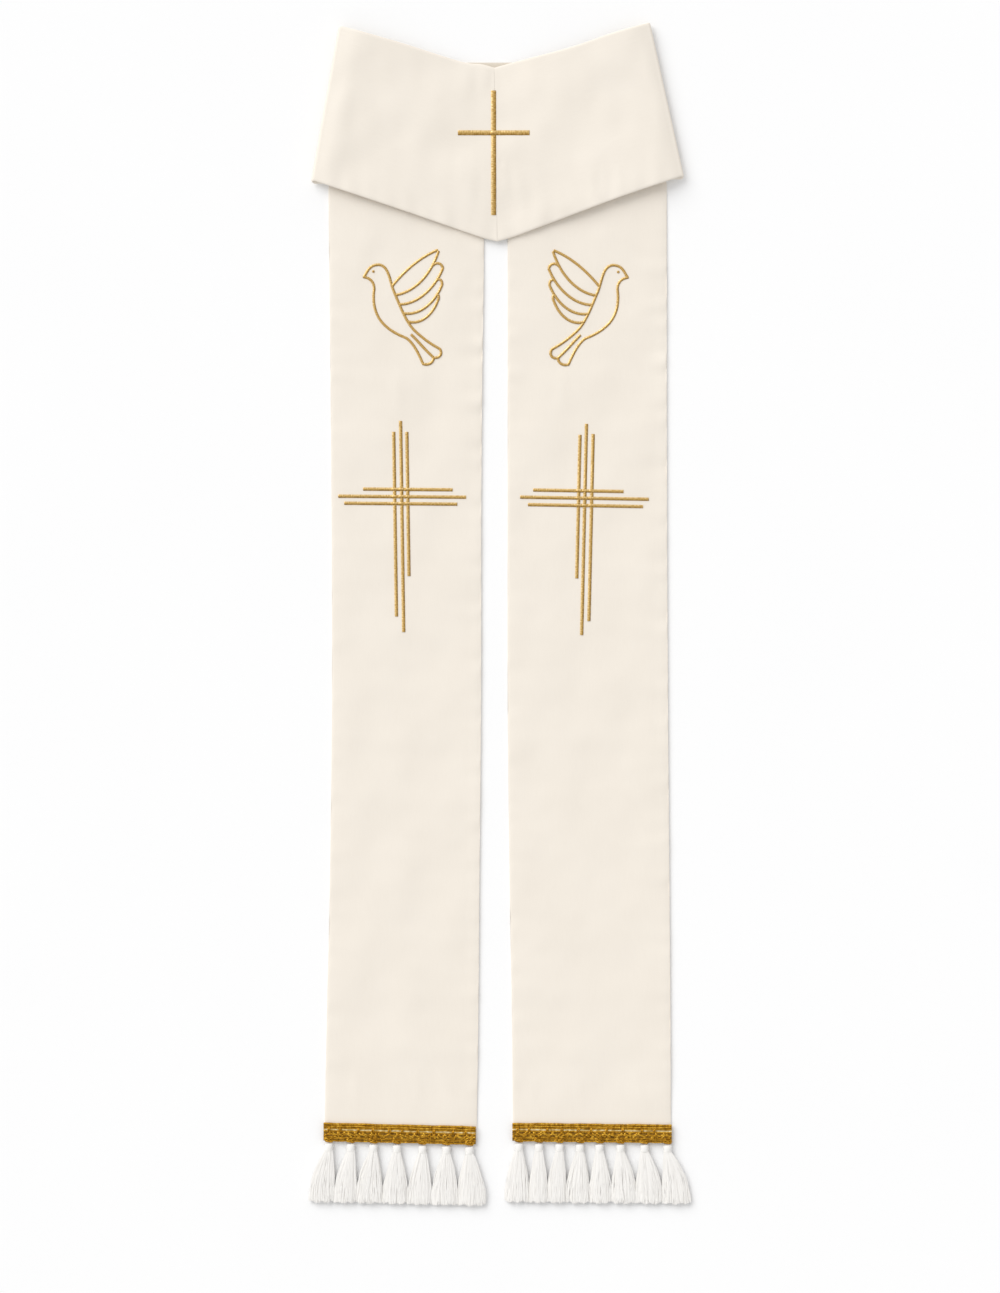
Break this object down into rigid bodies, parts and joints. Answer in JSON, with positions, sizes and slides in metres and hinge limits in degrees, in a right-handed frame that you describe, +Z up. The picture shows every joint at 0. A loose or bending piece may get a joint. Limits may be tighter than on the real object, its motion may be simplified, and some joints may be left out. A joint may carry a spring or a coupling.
{
  "type": "clerical stole",
  "caption": "Cream clerical stole laid flat, neck folded over its long panels, with gold embroidered crosses and doves, gold braid and white tassels at the hems.",
  "frame": {"origin": "middle of the laid-out stole, on the surface it lies on", "axes": "+Z up off the surface, +Y along the stole from the hems to the neck, +X across it from the left panel to the right one as seen from above"},
  "size_m": [0.3798, 1.183, 0.0133],
  "materials": {
    "face_cloth": "cream satin-faced cloth, soft sheen",
    "lining": "cream lining, matte",
    "gold_thread": "gold metallic embroidery thread",
    "gold_braid": "antique gold crocheted braid",
    "tassel_yarn": "white silky yarn"
  },
  "bodies": {
    "root": {"left_panel": "face_cloth", "right_panel": "face_cloth", "left_neck": "face_cloth", "right_neck": "face_cloth", "neck_lining": "lining", "neck_cross": "gold_thread", "left_cross": "gold_thread", "right_cross": "gold_thread", "left_dove": "gold_thread", "right_dove": "gold_thread", "left_braid": "gold_braid", "right_braid": "gold_braid", "left_tassel_1": "tassel_yarn", "left_tassel_2": "tassel_yarn", "left_tassel_3": "tassel_yarn", "left_tassel_4": "tassel_yarn", "left_tassel_5": "tassel_yarn", "left_tassel_6": "tassel_yarn", "left_tassel_7": "tassel_yarn", "right_tassel_1": "tassel_yarn", "right_tassel_2": "tassel_yarn", "right_tassel_3": "tassel_yarn", "right_tassel_4": "tassel_yarn", "right_tassel_5": "tassel_yarn", "right_tassel_6": "tassel_yarn", "right_tassel_7": "tassel_yarn", "right_tassel_8": "tassel_yarn"}
  },
  "joints": []
}
